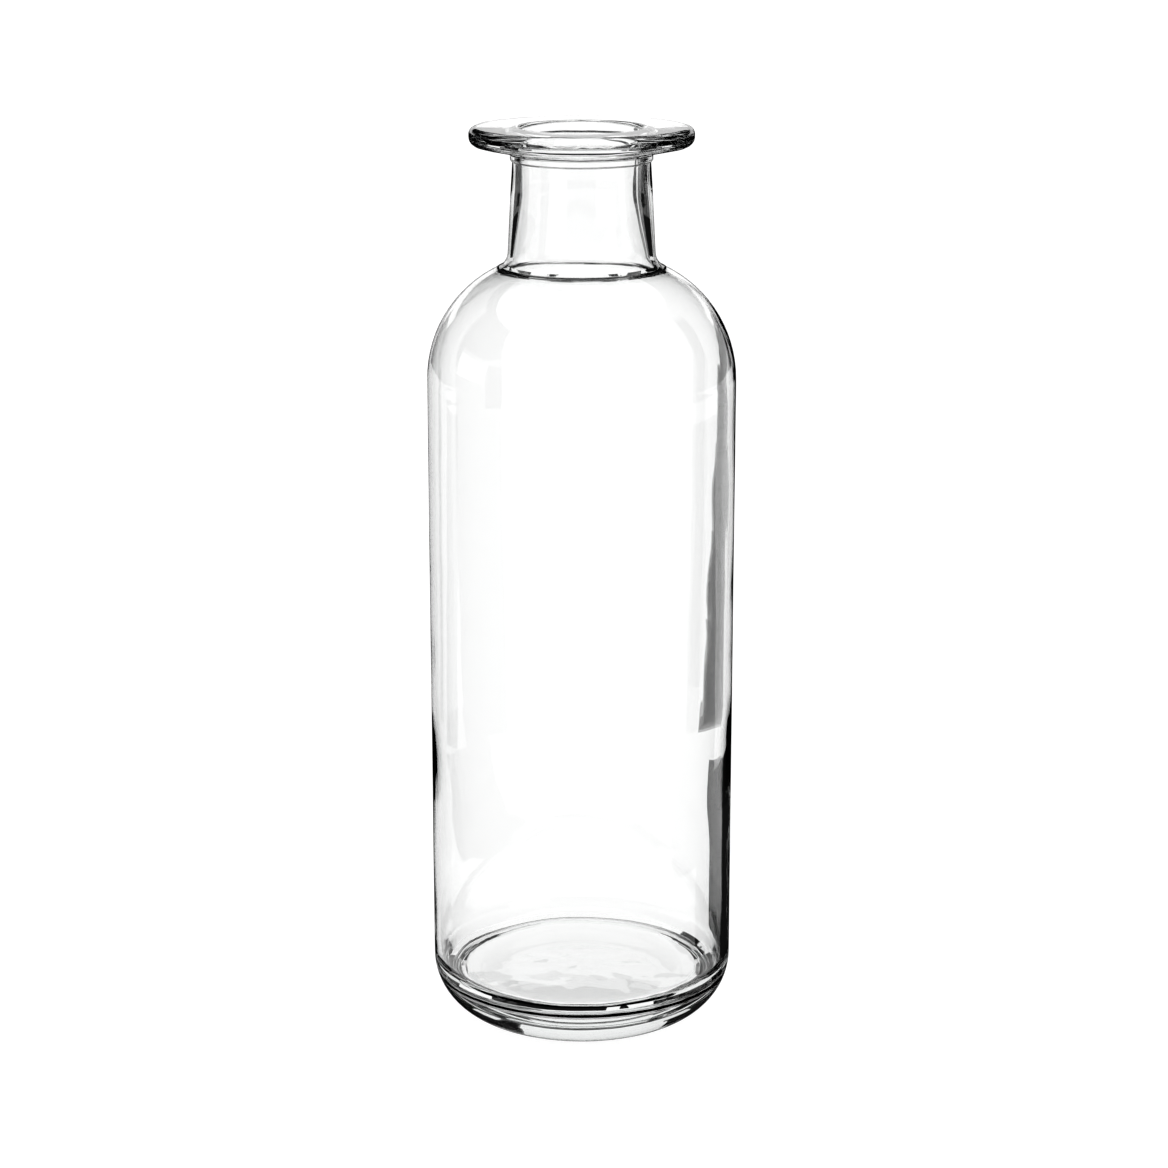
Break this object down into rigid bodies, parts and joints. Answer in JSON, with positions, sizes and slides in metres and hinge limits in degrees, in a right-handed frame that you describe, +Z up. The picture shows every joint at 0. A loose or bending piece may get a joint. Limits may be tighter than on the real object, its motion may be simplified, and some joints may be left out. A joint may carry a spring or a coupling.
{
  "type": "glass bud vase",
  "caption": "Clear glass bottle-shaped bud vase with a wide flat lip, a straight neck, a round shoulder and a heavy base, open at the top to hold water and a few stems.",
  "frame": {"origin": "centre of the foot, on the plane that the standing ring rests on", "axes": "+Z up along the vase's axis, out of the mouth; +Y to the back, +X to the right; the vase is turned about Z, so X and Y have no features of their own"},
  "size_m": [0.073, 0.073, 0.217],
  "materials": {
    "clear_glass": "clear, fire-polished at the lip, smooth moulded outside"
  },
  "bodies": {
    "root": {"glass_vase": "clear_glass"}
  },
  "joints": []
}
